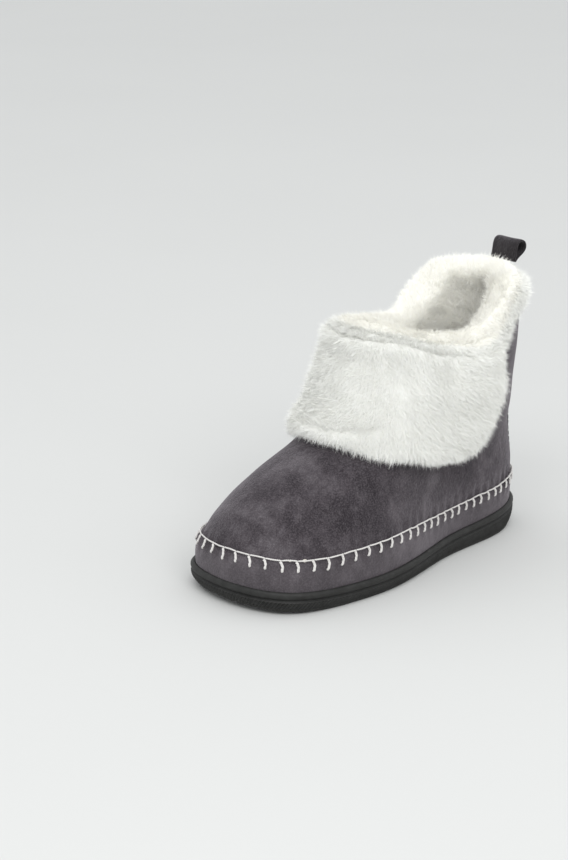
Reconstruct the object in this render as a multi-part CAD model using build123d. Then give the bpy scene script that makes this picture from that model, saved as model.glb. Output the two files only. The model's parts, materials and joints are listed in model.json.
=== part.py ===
"""Boot slipper for a left foot: suede upper on a moulded rubber sole, fur lining, fold-down fur cuff, pull loop.

Millimetres. +X points to the toe, +Y to the outer (lateral) side of the foot, +Z up. The origin is on the floor,
under the middle of the sole. Soft pieces are plain closed solids of the right size: a pile is a solid as thick as
the pile stands.
"""

import math
import os

from build123d import *

# ---------------------------------------------------------------- driving dimensions
TOE_SHIFT = 5.0  # how far the toe leans to the inner side
WAIST = 7.0  # how far the inner side draws in under the arch
POINTS_ROUND = 24  # points in each horizontal outline

SUEDE = 1.8  # thickness of the suede
TURN_IN = 12.0  # how far the side wall turns in under the foot
FIT_GAP = 0.3  # air between two layers of one assembly
STIFFENER_DEPTH = 3.5  # the suede and a stiffener behind it
LINING_DEPTH = 11.5  # from the outside of the suede to the tips of the lining's pile
CUFF_BACKING = (0.4, 1.8)  # the cuff's suede side, measured outwards from the upper
CUFF_FUR = (2.0, 13.5)  # the cuff's fur side, measured outwards from the upper
REAR_FUR = (2.0, 6.5)  # the same round the back, where the pile lies flatter
MOVING_CLEARANCE = 1.5  # more air under the cuff, which lifts at the front

SOLE_FLOOR = 7.0  # thickness of the rubber under the foot
RIM_OVERHANG = 2.4  # the rubber lip stands out this far from the suede
LIP_HEIGHT = 5.0
GROOVE_HEIGHT = 1.2
GROOVE_DEPTH = 1.3
BOTTOM_INSET = 3.5  # the sole's lower edge, inside its widest outline
TREAD_DEPTH = 1.6
TREAD_PITCH = 13.0
TREAD_GROOVE = 3.2

BOARD = 1.8
FOAM = 8.0
FOOTBED_PILE = 6.0

STITCH_PITCH = 7.6  # at the heel
TOE_PITCH = 10.0  # at the toe, where the stitches stand further apart
STITCH_LEG = 6.6
THREAD_RADIUS = 0.75

LOOP_WIDTH = 22.0
LOOP_HEIGHT = 17.5
LOOP_STRIP = 1.4
LOOP_FOOT = 1.6  # radius of the loop's sewn-together lower end
LOOP_EYE = 3.6  # inside radius of the loop's top
LOOP_LEAN = 35.0  # degrees back from upright
BACKSTAY_WIDTH = 20.0

# Stations of the suede's outer surface, from the sole upwards: height, back and front ends, half widths at the
# heel and at the ball, and how blunt the heel and the toe are (2 is an ellipse).
STATIONS = [
    (4.0, -124.5, 125.5, 32.0, 50.5, 4.7, 9.0),
    (12.0, -126.0, 127.5, 33.0, 52.0, 4.7, 9.0),
    (22.0, -127.0, 128.3, 34.0, 52.8, 4.7, 8.6),
    (32.0, -127.2, 127.0, 34.5, 52.3, 4.6, 7.4),
    (42.0, -127.0, 122.5, 34.5, 51.0, 4.4, 5.4),
    (54.0, -125.8, 113.5, 34.5, 49.0, 4.0, 3.9),
    (66.0, -124.5, 99.5, 35.0, 47.0, 3.5, 3.0),
    (78.0, -123.6, 79.5, 36.0, 45.0, 3.1, 2.7),
    (92.0, -123.5, 50.0, 38.0, 43.5, 2.7, 2.5),
    (108.0, -124.8, 34.5, 40.0, 43.0, 2.45, 2.4),
    (135.0, -127.0, 22.0, 41.5, 42.5, 2.3, 2.25),
    (165.0, -127.8, 11.5, 42.3, 42.5, 2.2, 2.2),
    (194.0, -127.5, 4.0, 43.0, 43.0, 2.2, 2.2),
]

TOP = len(STATIONS) - 1

# Side-view curves, as (x, z) points from the heel to the toe.
RIM_TOP = [(-150, 21.5), (-128, 21.0), (-85, 18.0), (-50, 16.4), (-20, 15.4), (20, 14.0), (72, 13.9), (104, 15.4),
           (128, 17.2), (150, 19.0)]
SOLE_UNDER = [(-150, 4.0), (-128, 1.6), (-112, 0.0), (-85, -1.5), (0, -4.0), (52, -1.5), (78, 0.0), (104, 1.4),
              (128, 4.6), (150, 9.0)]
SEAM = [(-150, 41.0), (-128, 40.3), (-85, 36.5), (-35, 34.6), (15, 36.6), (52, 35.8), (86, 34.6), (110, 35.3),
        (128, 37.8), (150, 40.5)]
CREST = [(-170, 179), (-142, 180), (-128, 181), (-114, 183), (-99, 181), (-84, 168), (-70, 153), (-57, 147), (-35, 151),
         (0, 162), (20, 167), (38, 168), (60, 168)]
CUFF_HEM = [(-170, 164), (-135, 163), (-118, 162), (-100, 158), (-88, 143), (-79, 126), (-71, 110), (-65, 92),
            (-56, 79), (-42, 74.5), (-15, 77), (18, 82.5), (36, 86), (50, 94), (72, 116)]
CUFF_HANG = (100.0, -150.0, 56.5, 62.0, 58.0, 2.4, 2.4)  # outline, like a station's, that the cuff hangs inside
SIDE_SEAM_X = -73.0  # the cuff's deep front panel meets its low rear band here
ANKLE_LEVEL = 96.0  # the foot's lining ends here and the shaft's begins
LIFT_X = -4.0  # the cuff's front lifts ahead of this line
REACH = 90.0  # half the width of every cutting tool


# ---------------------------------------------------------------- the upper's surface
def smooth(t):
    t = max(0.0, min(1.0, t))
    return t * t * (3 - 2 * t)


def outline_point(station, turn):
    """A point of one station's outline: turn 0 is the back of the heel, 0.5 the toe, 0.25 the outer side."""
    height, back, front, heel_half, ball_half, heel_blunt, toe_blunt = station
    along = -math.cos(2 * math.pi * turn)
    x = (back + front) / 2 + (front - back) / 2 * along
    blunt = toe_blunt if along > 0 else heel_blunt
    half = heel_half + (ball_half - heel_half) * smooth((x + 60) / 100)
    y = half * math.sqrt(max(0.0, 1 - abs(along) ** blunt))
    side = 1 if turn <= 0.5 else -1
    if side < 0:
        y -= WAIST * math.exp(-(((x + 22) / 42) ** 2)) * (1 - smooth((height - 34) / 50))
    return Vector(x, side * y - TOE_SHIFT * smooth((x - 45) / 80), height)


def section_points(index, offset):
    """One station's outline moved out by offset, measured square to the sloping surface."""
    below = STATIONS[max(0, index - 1)]
    above = STATIONS[min(TOP, index + 1)]
    points = []
    for k in range(POINTS_ROUND):
        turn = k / POINTS_ROUND
        step = 0.2 / POINTS_ROUND
        here = outline_point(STATIONS[index], turn)
        ahead = outline_point(STATIONS[index], (turn + step) % 1)
        behind = outline_point(STATIONS[index], (turn - step) % 1)
        tangent = (ahead - behind).normalized()
        outward = Vector(-tangent.Y, tangent.X, 0)
        rise = outline_point(above, turn) - outline_point(below, turn)
        slope = rise.dot(outward) / rise.Z
        points.append(here + outward * offset * math.sqrt(1 + slope * slope))
    return points


def form(offset, last=TOP, beyond=0.0):
    """The solid inside the upper's surface moved out by offset, up to one station or a little beyond it."""
    rings = [section_points(i, offset) for i in range(last + 1)]
    rings[0] = [p - Vector(0, 0, beyond) for p in rings[0]]
    rings[-1] = [p + Vector(0, 0, beyond) for p in rings[-1]]
    return Solid.make_loft([ring_wire(ring) for ring in rings])


def ring_wire(points):
    """A closed smooth outline; every outline shares its parameters, so the lofted surface stays light."""
    turns = [k / POINTS_ROUND for k in range(POINTS_ROUND + 1)]
    return Wire([Edge.make_spline(points, periodic=True, parameters=turns)])


def surface_point(turn, height, offset=0.0):
    """A point on the upper's surface, by a smooth curve through the stations at one place round it."""
    i = max(1, min(TOP - 2, next(k for k, s in enumerate(STATIONS) if s[0] > height) - 1))
    k = turn * POINTS_ROUND
    rows = []
    for j in (i - 1, i, i + 1, i + 2):
        ring = section_points(j, offset)
        low, share = int(k) % POINTS_ROUND, k - int(k)
        four = [ring[(low + m) % POINTS_ROUND] for m in (-1, 0, 1, 2)]
        rows.append(through(four, share))
    return through(rows, (height - rows[1].Z) / (rows[2].Z - rows[1].Z))


def through(four, share):
    """A Catmull-Rom curve between the second and third of four points."""
    a, b, c, d = four
    return (
        b * 2 + (c - a) * share + (a * 2 - b * 5 + c * 4 - d) * share**2 + (b * 3 - a - c * 3 + d) * share**3
    ) * 0.5


# ---------------------------------------------------------------- cutting tools
def between(low, high, reach=REACH):
    """The space between two side-view curves, right across the boot."""
    bottom = Edge.make_spline([Vector(x, 0, z) for x, z in low])
    top = Edge.make_spline([Vector(x, 0, z) for x, z in high])
    left = Edge.make_line(bottom.position_at(0), top.position_at(0))
    right = Edge.make_line(bottom.position_at(1), top.position_at(1))
    face = Face(Wire([bottom, right, top, left]))
    return Solid.extrude(face.moved(Location((0, -reach, 0))), Vector(0, 2 * reach, 0))


def shifted(curve, dz):
    return [(x, z + dz) for x, z in curve]


def level(z, like):
    return [(like[0][0], z), (like[-1][0], z)]


def block(x, y, z):
    """A box from three (low, high) ranges."""
    return Location(((x[0] + x[1]) / 2, (y[0] + y[1]) / 2, (z[0] + z[1]) / 2)) * Box(
        x[1] - x[0], y[1] - y[0], z[1] - z[0]
    )


def shell(outer, inner):
    """The layer between two offsets of the upper's surface."""
    return form(outer) - form(inner, beyond=0.5)


def height_on(curve, x):
    """The height of a side-view curve at x."""
    edge = Edge.make_spline([Vector(px, 0, pz) for px, pz in curve])
    low, high = 0.0, 1.0
    for _ in range(30):
        middle = (low + high) / 2
        if edge.position_at(middle).X < x:
            low = middle
        else:
            high = middle
    return edge.position_at(low).Z


# ---------------------------------------------------------------- sole and footbed
def rim_form(offset):
    """The sole's own outline, which leans in a little towards the floor."""
    low = section_points(2, RIM_OVERHANG + offset - BOTTOM_INSET)
    middle = section_points(2, RIM_OVERHANG + offset - 0.6)
    wide = section_points(2, RIM_OVERHANG + offset)
    rings = ((0.0, low), (7.0, middle), (16.0, wide), (26.0, wide))
    return Solid.make_loft([ring_wire([Vector(p.X, p.Y, z) for p in ring]) for z, ring in rings])


def make_outsole():
    body = rim_form(0) & between(SOLE_UNDER, RIM_TOP)
    groove_top = shifted(RIM_TOP, -LIP_HEIGHT)
    groove = between(shifted(groove_top, -GROOVE_HEIGHT), groove_top) - rim_form(-GROOVE_DEPTH)
    body = body - groove
    well = form(FIT_GAP, 4) & block((-150, 150), (-REACH, REACH), (SOLE_FLOOR, 40))
    body = body - well
    for k in range(-8, 9):
        if k:
            x = k * TREAD_PITCH + math.copysign(TREAD_PITCH / 2, -k)
            cut = block((x - TREAD_GROOVE / 2, x + TREAD_GROOVE / 2), (-REACH, REACH), (-5, TREAD_DEPTH))
            body = body - (cut & rim_form(-12.0))
    return body


def make_midsole_filler():
    level_ring = section_points(1, -TURN_IN - FIT_GAP)
    low = ring_wire([Vector(p.X, p.Y, SOLE_FLOOR + FIT_GAP / 2) for p in level_ring])
    return Solid.extrude(Face(low), Vector(0, 0, SUEDE))


def board_bottom():
    return SOLE_FLOOR + SUEDE + 2 * FIT_GAP


def make_insole_board():
    low = board_bottom()
    return form(-SUEDE - FIT_GAP, 3) & block((-150, 150), (-REACH, REACH), (low, low + BOARD))


def foam_bottom():
    return board_bottom() + BOARD + FIT_GAP


def make_footbed_foam():
    low = foam_bottom()
    return form(-LINING_DEPTH - FIT_GAP, 4) & block((-150, 150), (-REACH, REACH), (low, low + FOAM))


def make_footbed_cover():
    low = foam_bottom() + FOAM + FIT_GAP
    return form(-LINING_DEPTH - FIT_GAP, 4) & block((-150, 150), (-REACH, REACH), (low, low + FOOTBED_PILE))


# ---------------------------------------------------------------- suede and stiffeners
def make_side_wall():
    """The moccasin's wall: from under the board, up inside the rubber lip, to the hand-stitched seam."""
    low = SOLE_FLOOR + FIT_GAP / 2
    wall = shell(0, -SUEDE) & between(level(low, SEAM), SEAM)
    flange = form(-SUEDE / 2, 3) & block((-150, 150), (-REACH, REACH), (low, low + SUEDE))
    opening = ring_wire([Vector(p.X, p.Y, low - 1) for p in section_points(1, -TURN_IN)])
    return wall + (flange - Solid.extrude(Face(opening), Vector(0, 0, SUEDE + 2)))


def make_upper():
    """One wrap of suede from the toe, round the foot, up to the fold at the top of the shaft."""
    return shell(0, -SUEDE) & between(SEAM, shifted(CREST, -5.0))


def make_toe_puff():
    band = shell(-SUEDE - FIT_GAP, -STIFFENER_DEPTH + FIT_GAP)
    return band & block((84, 150), (-REACH, REACH), (foam_bottom(), 58))


def make_heel_counter():
    band = shell(-SUEDE - FIT_GAP, -STIFFENER_DEPTH + FIT_GAP)
    profile = [(-150, 84), (-128, 82), (-105, 70), (-80, 45), (-66, foam_bottom() + 1), (-60, foam_bottom() + 0.5)]
    return band & between(level(foam_bottom(), profile), profile)


def make_backstay():
    band = shell(SUEDE, FIT_GAP)
    top = height_on(CUFF_HEM, -130) - 3
    strip = block((-160, -100), (-BACKSTAY_WIDTH / 2, BACKSTAY_WIDTH / 2), (30, top))
    return band & strip & between(shifted(SEAM, 1.0), level(top + 5, SEAM))


# ---------------------------------------------------------------- linings, collar and cuff
def make_foot_linings():
    """The foot's lining: two panels, sewn together along the vamp and down the heel."""
    wall = shell(-STIFFENER_DEPTH, -LINING_DEPTH)
    wall = wall & block((-150, 150), (-REACH, REACH), (foam_bottom(), ANKLE_LEVEL))
    return {"foot_lining_lateral": wall & lateral_side(), "foot_lining_medial": wall & medial_side()}


def make_collar_linings():
    """The shaft's lining and the fold that carries it over the top edge: two panels, sewn front and back."""
    wall = form(-STIFFENER_DEPTH) & between(level(ANKLE_LEVEL + FIT_GAP, CREST), shifted(CREST, -2.0))
    fold = form(CUFF_BACKING[1]) & between(shifted(CREST, -4.6), CREST)
    ring = (wall + fold) - form(-LINING_DEPTH, beyond=0.5)
    return {"collar_lining_lateral": ring & lateral_side(), "collar_lining_medial": ring & medial_side()}


def cuff_ring(depths, extra=0.0):
    """The turned-down cuff all round, between two depths outside the upper."""
    inner, outer = depths
    top = shifted(CREST, -5.2)
    ring = shell(outer + extra, inner + extra) & between(CUFF_HEM, top)
    return ring


def ahead_of(x):
    return block((x, 200), (-REACH, REACH), (0, 250))


def behind(x):
    return block((-200, x), (-REACH, REACH), (0, 250))


def lateral_side():
    return block((-200, 200), (0, REACH), (0, 250))


def medial_side():
    return block((-200, 200), (-REACH, 0), (0, 250))


def hanging():
    """Below the ankle the cuff hangs straight down, and doesn't follow the vamp forward."""
    ring = [outline_point(CUFF_HANG, k / POINTS_ROUND) for k in range(POINTS_ROUND)]
    return Solid.extrude(Face(ring_wire([Vector(p.X, p.Y, 60) for p in ring])), Vector(0, 0, 140))


def make_cuff_parts():
    hang = hanging()
    fur = cuff_ring(CUFF_FUR, MOVING_CLEARANCE) & hang
    backing = cuff_ring(CUFF_BACKING, MOVING_CLEARANCE)
    rear_fur = cuff_ring(REAR_FUR)
    rear_backing = cuff_ring(CUFF_BACKING)
    wing = behind(LIFT_X - 0.6) & ahead_of(SIDE_SEAM_X + 0.2)
    return {
        "collar_fur_rear": rear_fur & behind(SIDE_SEAM_X),
        "cuff_wing_lateral": fur & wing & lateral_side(),
        "cuff_wing_medial": fur & wing & medial_side(),
        "cuff_wing_backing_lateral": backing & wing & lateral_side(),
        "cuff_wing_backing_medial": backing & wing & medial_side(),
        "collar_backing_rear": rear_backing & behind(SIDE_SEAM_X),
        "cuff_front": fur & ahead_of(LIFT_X),
        "cuff_front_backing": backing & ahead_of(LIFT_X),
    }


# ---------------------------------------------------------------- pull loop
def loop_base():
    """The line that the pull loop bends about, just above the fold at the back."""
    x = surface_point(0.0, height_on(CREST, -128), -STIFFENER_DEPTH / 2 - 1).X
    return Vector(x, 0, height_on(CREST, x + LOOP_FOOT) + LOOP_FOOT + 0.4)


def make_pull_loop():
    foot = LOOP_FOOT
    head = LOOP_EYE + LOOP_STRIP
    outer = make_hull([*(Pos(0, foot) * Circle(foot)).edges(), *(Pos(0, LOOP_HEIGHT - head) * Circle(head)).edges()])
    eye = make_hull(
        [*(Pos(0, foot + 2.5) * Circle(0.2)).edges(), *(Pos(0, LOOP_HEIGHT - head) * Circle(LOOP_EYE)).edges()]
    )
    strip = extrude(Plane.XZ * (outer - eye), LOOP_WIDTH / 2, both=True)
    return Pos(*loop_base()) * Rot(0, -LOOP_LEAN, 0) * Pos(0, 0, -foot) * strip


def make_loop_anchor():
    """The loop's two ends, sewn in between the suede and the lining."""
    band = shell(-SUEDE - FIT_GAP, -STIFFENER_DEPTH + FIT_GAP)
    top = height_on(CREST, -128) - 5.5
    return band & block((-160, -100), (-LOOP_WIDTH / 2, LOOP_WIDTH / 2), (top - 18, top))


# ---------------------------------------------------------------- threads
def thread(start, end, radius=THREAD_RADIUS):
    """A short straight stretch of thread."""
    along = end - start
    return Solid.make_cylinder(radius, along.length, Plane(origin=start, z_dir=along))


def seam_stations(curve, drop=0.0):
    """Places on the surface along a side-view curve, a stitch apart."""
    fine = 720
    points = []
    for k in range(fine):
        turn = k / fine
        x = outline_point(STATIONS[3], turn).X
        points.append((turn, height_on_table(curve, x) - drop))
    spots, walked, last = [], 0.0, None
    for turn, z in points:
        here = quick_point(turn, z)
        pitch = STITCH_PITCH + (TOE_PITCH - STITCH_PITCH) * smooth((here.X + 60) / 140)
        if last is None or walked + (here - last).length >= pitch:
            spots.append((turn, z))
            walked = 0.0
        else:
            walked += (here - last).length
        last = here
    return spots


def height_on_table(curve, x):
    """A straight-line reading of a side-view curve."""
    for (x0, z0), (x1, z1) in zip(curve, curve[1:]):
        if x0 <= x <= x1:
            return z0 + (z1 - z0) * (x - x0) / (x1 - x0)
    return curve[-1][1]


def quick_point(turn, height):
    """A straight-line reading of the upper's surface between two stations."""
    i = next(k for k, s in enumerate(STATIONS) if s[0] > height)
    share = (height - STATIONS[i - 1][0]) / (STATIONS[i][0] - STATIONS[i - 1][0])
    return outline_point(STATIONS[i - 1], turn) * (1 - share) + outline_point(STATIONS[i], turn) * share


def make_moccasin_thread():
    """The blanket stitch round the seam: a leg down the wall at each stitch and a bar along to the next."""
    spots = seam_stations(SEAM)
    stand = THREAD_RADIUS + 0.55
    tops = [surface_point(turn, z + 0.4, stand) for turn, z in spots]
    solids = []
    for k, (turn, z) in enumerate(spots):
        foot = surface_point(turn, z - STITCH_LEG, stand)
        start = tops[k] + (foot - tops[k]).normalized() * THREAD_RADIUS * 1.6
        solids.append(thread(start, foot))
        run = tops[(k + 1) % len(tops)] - tops[k]
        inset = run.normalized() * THREAD_RADIUS * 0.4
        solids.append(thread(tops[k] + inset, tops[(k + 1) % len(tops)] - inset, THREAD_RADIUS * 0.7))
    return Compound(children=solids)


def make_backstay_thread():
    """Two rows of lockstitch, one near each edge of the backstay."""
    solids = []
    low, high = height_on(SEAM, -128) + 4, height_on(CUFF_HEM, -130) - 6
    count = int((high - low) / 4)
    for side in (-1, 1):
        for k in range(count):
            start, end = (edge_of_backstay(side, low + 4 * (k + share)) for share in (0.1, 0.8))
            solids.append(thread(start, end, 0.35))
    return Compound(children=solids)


def edge_of_backstay(side, height):
    """A point just outside the backstay, 2 mm in from one edge."""
    turn = 0.0
    while abs(quick_point(turn, height).Y) < BACKSTAY_WIDTH / 2 - 2:
        turn += 0.002
    return surface_point(turn if side > 0 else 1 - turn, height, SUEDE + 0.5)


# ---------------------------------------------------------------- writing
def main():
    os.makedirs("parts", exist_ok=True)
    parts = {
        "outsole": make_outsole(),
        "midsole_filler": make_midsole_filler(),
        "insole_board": make_insole_board(),
        "footbed_foam": make_footbed_foam(),
        "footbed_cover": make_footbed_cover(),
        "side_wall": make_side_wall(),
        "upper": make_upper(),
        "toe_puff": make_toe_puff(),
        "heel_counter": make_heel_counter(),
        "backstay": make_backstay(),
        **make_foot_linings(),
        **make_collar_linings(),
        "pull_loop": make_pull_loop(),
        "loop_anchor": make_loop_anchor(),
        "moccasin_thread": make_moccasin_thread(),
        "backstay_thread": make_backstay_thread(),
        **make_cuff_parts(),
    }
    for name, shape in parts.items():
        export_step(shape, f"parts/{name}.step")


main()
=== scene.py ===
"""Looks for the boot slipper: suede upper, moulded sole, blanket stitch, fur cuff, fur lining, pull loop.

Metres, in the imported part's own frame: +X to the toe, +Y to the outer side, +Z up.
"""

import json
import math

import bpy
import numpy as np
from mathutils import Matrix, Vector
from mathutils.bvhtree import BVHTree
from mathutils.kdtree import KDTree


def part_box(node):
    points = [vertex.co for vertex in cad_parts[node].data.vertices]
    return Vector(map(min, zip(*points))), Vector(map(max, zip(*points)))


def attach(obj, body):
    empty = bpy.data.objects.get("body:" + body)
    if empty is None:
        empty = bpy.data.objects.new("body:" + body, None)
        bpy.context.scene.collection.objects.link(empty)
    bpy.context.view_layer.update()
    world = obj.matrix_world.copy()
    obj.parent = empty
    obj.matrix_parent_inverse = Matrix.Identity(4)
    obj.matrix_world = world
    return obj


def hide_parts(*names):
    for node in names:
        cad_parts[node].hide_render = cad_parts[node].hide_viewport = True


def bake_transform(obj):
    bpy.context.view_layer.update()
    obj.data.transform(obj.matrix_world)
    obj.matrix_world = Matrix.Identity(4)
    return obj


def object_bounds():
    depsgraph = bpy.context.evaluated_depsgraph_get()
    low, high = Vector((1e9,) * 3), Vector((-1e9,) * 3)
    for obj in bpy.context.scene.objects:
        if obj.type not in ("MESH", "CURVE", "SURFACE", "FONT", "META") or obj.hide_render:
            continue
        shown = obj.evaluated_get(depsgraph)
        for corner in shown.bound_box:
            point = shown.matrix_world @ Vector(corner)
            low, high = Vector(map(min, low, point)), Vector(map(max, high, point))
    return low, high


MM = 0.001
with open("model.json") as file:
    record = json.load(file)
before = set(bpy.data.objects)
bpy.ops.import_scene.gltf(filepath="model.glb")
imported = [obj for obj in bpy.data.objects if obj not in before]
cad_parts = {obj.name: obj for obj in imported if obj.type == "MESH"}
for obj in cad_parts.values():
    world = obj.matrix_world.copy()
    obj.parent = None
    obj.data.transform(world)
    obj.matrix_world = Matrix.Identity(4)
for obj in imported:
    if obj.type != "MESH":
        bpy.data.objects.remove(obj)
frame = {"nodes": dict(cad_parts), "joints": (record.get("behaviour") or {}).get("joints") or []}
nodes = frame["nodes"]
joints = {joint["name"]: joint for joint in frame["joints"]}
cad_low, cad_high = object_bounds()
UP = np.array([0.0, 0.0, 1.0])
FAR = 250 * MM  # rays start this far out, well clear of the boot
LEG_AXIS = np.array([-50 * MM, 0, 0])  # a point on the shaft's middle line

# ---------------------------------------------------------------- sizes of the detail
SUEDE_COLUMNS = 560
SUEDE_STEP = 1.1 * MM
COVERED_TOP = 9 * MM  # the suede under the fold, which nobody sees
SEAM_DEPTH = 0.8 * MM  # how far the leather is drawn in along the moccasin seam
PUCKER = 0.55 * MM  # how far it stands out at a stitch, and is drawn in between two
STEEP = 0.6  # a stitch's leg points up more than this, a bar less

SOLE_COLUMNS = 2100
LIP_HEIGHT = 5.0 * MM
GROOVE_HEIGHT = 1.3 * MM
GROOVE_DEPTH = 1.4 * MM
RIB_PITCH = 2.6 * MM
RIB_DEPTH = 0.95 * MM
RIB_CLIMB = 3.4 * MM  # a rib moves along by one pitch over this height
SOLE_LEAN = 3.0 * MM  # how far the wall leans in towards the floor
SOLE_EDGE = 1.6 * MM  # radius of the wall's lower edge
TREAD_DEPTH = 1.6 * MM

CUFF_PILE = 5.6 * MM
FOLD_PILE = 4.2 * MM
LINING_PILE = 6.5 * MM
FOOTBED_PILE = 4.0 * MM
FIBRE = 0.24 * MM
STRANDS_PER_PIECE = 36000
LINING_FULL = 7.5 * MM  # how far the lining stands in near the top
FOLD_RISE = 2.0 * MM  # the fold's roll above the lining's edge
FOLD_PRESSED = 6.2 * MM  # how far the fold is pressed down again
FOLD_EASED = 4.5 * MM  # and how much less at the shaft's sides
CUFF_LEAN = 4.0 * MM  # how far the cuff leans in near the fold
CUFF_END = 6.5 * MM  # how far its rear edges are drawn in


# ---------------------------------------------------------------- small tools
def unit(v):
    return v / np.maximum(np.linalg.norm(v, axis=-1, keepdims=True), 1e-12)


def smooth(t):
    t = np.clip(t, 0.0, 1.0)
    return t * t * (3 - 2 * t)


def lattice(cell, seed):
    """A repeatable random number from -1 to 1 at each lattice cell."""
    n = cell[..., 0] * 73856093 ^ cell[..., 1] * 19349663 ^ cell[..., 2] * 83492791 ^ seed * 2654435761
    n = (n ^ (n >> 13)) * 1274126177 & 0x7FFFFFFF
    return (n ^ (n >> 16)) % 65536 / 32767.5 - 1


def noise(points, size, seed=0):
    """Smooth value noise from -1 to 1 with features of the given size."""
    q = points / size
    cell = np.floor(q).astype(np.int64)
    f = smooth(q - cell)
    total = 0.0
    for corner in np.ndindex(2, 2, 2):
        weight = np.prod(np.where(corner, f, 1 - f), axis=-1)
        total = total + weight * lattice(cell + np.array(corner), seed)
    return total


def node_arrays(*names):
    """Vertices and triangles of some CAD nodes together."""
    verts, tris, count = [], [], 0
    for name in names:
        mesh = nodes[name].data
        mesh.calc_loop_triangles()
        co = np.empty(len(mesh.vertices) * 3)
        mesh.vertices.foreach_get("co", co)
        index = np.empty(len(mesh.loop_triangles) * 3, np.int32)
        mesh.loop_triangles.foreach_get("vertices", index)
        verts.append(co.reshape(-1, 3))
        tris.append(index.reshape(-1, 3) + count)
        count += len(mesh.vertices)
    return np.concatenate(verts), np.concatenate(tris)


def node_tree(*names):
    verts, tris = node_arrays(*names)
    return BVHTree.FromPolygons(verts.tolist(), tris.tolist())


def new_piece(name, verts, loops, sizes, material, smooth_shading=True):
    """A mesh object from flat arrays: corner indices and the number of corners of each face."""
    mesh = bpy.data.meshes.new(name)
    mesh.vertices.add(len(verts))
    mesh.vertices.foreach_set("co", np.asarray(verts, np.float32).ravel())
    mesh.loops.add(len(loops))
    mesh.loops.foreach_set("vertex_index", np.asarray(loops, np.int32))
    mesh.polygons.add(len(sizes))
    starts = np.concatenate([[0], np.cumsum(sizes)[:-1]])
    mesh.polygons.foreach_set("loop_start", starts.astype(np.int32))
    mesh.polygons.foreach_set("use_smooth", np.full(len(sizes), smooth_shading))
    mesh.update(calc_edges=True)
    mesh.validate()
    piece = bpy.data.objects.new(name, mesh)
    bpy.context.scene.collection.objects.link(piece)
    for m in material if isinstance(material, list) else [material]:
        mesh.materials.append(m)
    return piece


def ring_quads(rows, columns):
    """Corner indices of the faces between rings of points; they look where grid_normals() points."""
    r, c = np.meshgrid(np.arange(rows - 1), np.arange(columns), indexing="ij")
    d = (c + 1) % columns
    quads = np.stack([r * columns + c, r * columns + d, (r + 1) * columns + d, (r + 1) * columns + c], -1)
    return quads.reshape(-1, 4)


def ring_ends(rows, columns):
    """Corner indices of the two faces that close a tube of rings."""
    return [np.arange(columns)[::-1], np.arange(columns) + (rows - 1) * columns]


def grid_piece(name, points, material, valid=None, capped=False):
    """A mesh over a grid of points, rows by columns, whose columns close into a ring."""
    rows, columns = points.shape[:2]
    quads = ring_quads(rows, columns)
    if valid is not None:
        quads = quads[valid.ravel()[quads].all(axis=1)]
    used, index = np.unique(quads, return_inverse=True)
    verts = points.reshape(-1, 3)[used]
    loops, sizes = index.ravel(), np.full(len(quads), 4)
    if capped:
        loops = np.concatenate([loops, *ring_ends(rows, columns)])
        sizes = np.concatenate([sizes, [columns, columns]])
    return new_piece(name, verts, loops, sizes, material)


def grid_normals(points, around=True):
    """Normals of a grid whose rows go up; they point to the right of the way its columns run."""
    if around:
        along = np.roll(points, -1, 1) - np.roll(points, 1, 1)
    else:
        along = np.gradient(points, axis=1)
    rise = np.gradient(points, axis=0)
    return unit(np.cross(along, rise))


def averaged(ring, times, axis=0):
    """Averages each value of a closed ring with its neighbours, some times over."""
    for _ in range(times):
        ring = ring * 0.5 + (np.roll(ring, 1, axis) + np.roll(ring, -1, axis)) * 0.25
    return ring


def blur(points, times):
    """Averages a grid of rings with its neighbours, round and up, to take the facets out of it."""
    for _ in range(times):
        points = averaged(points, 1, axis=1)
        inner = points[1:-1] * 0.5 + (points[:-2] + points[2:]) * 0.25
        points = np.concatenate([points[:1], inner, points[-1:]])
    return points


def wall_ends(tree, height):
    """The front and back points of a node's wall at one height, or None where it is open at the front."""
    toe_side, shortest = -4 * MM, 90 * MM  # the toe leans to the inner side
    front = tree.ray_cast(Vector((FAR, toe_side, height)), Vector((-1, 0, 0)))[0]
    back = tree.ray_cast(Vector((-FAR, 0, height)), Vector((1, 0, 0)))[0]
    return (front, back) if front and back and front.x - back.x > shortest else None


def ring_rays(tree, height, columns, ends):
    """Points of a node's outer wall at one height: from the heel, round the outer side, the toe and back.

    The rays fan out round the heel and the toe and run straight across between them.
    """
    heel_share, side_share, toe_share = 0.13, 0.23, 0.14  # of the columns, on each side
    nearest = 8 * MM  # a hit nearer the middle is the far wall, seen through an opening
    front, back = ends
    longest_round = (front.x - back.x) * 0.45
    heel_middle = back.x + min(34 * MM, longest_round)
    toe_middle = front.x - min(46 * MM, longest_round)
    points = np.full((columns, 3), np.nan)
    for k in range(columns):
        u = k / columns
        side = 1 if u <= 0.5 else -1
        t = u if u <= 0.5 else 1 - u
        if t < heel_share:
            turn = math.pi / 2 * t / heel_share
            base, way = heel_middle, Vector((-math.cos(turn), side * math.sin(turn), 0))
        elif t > heel_share + side_share:
            turn = math.pi / 2 * (0.5 - t) / toe_share
            base, way = toe_middle, Vector((math.cos(turn), side * math.sin(turn), 0))
        else:
            share = (t - heel_share) / side_share
            base = heel_middle * (1 - share) + toe_middle * share
            way = Vector((0, side, 0))
        origin = Vector((base, 0, height))
        hit = tree.ray_cast(origin + way * FAR, -way)[0]
        if hit is not None and (hit - origin) @ way > nearest:
            points[k] = hit
    return points


# ---------------------------------------------------------------- materials
def principled(name, **settings):
    material = bpy.data.materials.new(name)
    material.use_nodes = True
    shader = material.node_tree.nodes["Principled BSDF"]
    for key, value in settings.items():
        shader.inputs[key.replace("_", " ")].default_value = value
    return material, shader


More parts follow.
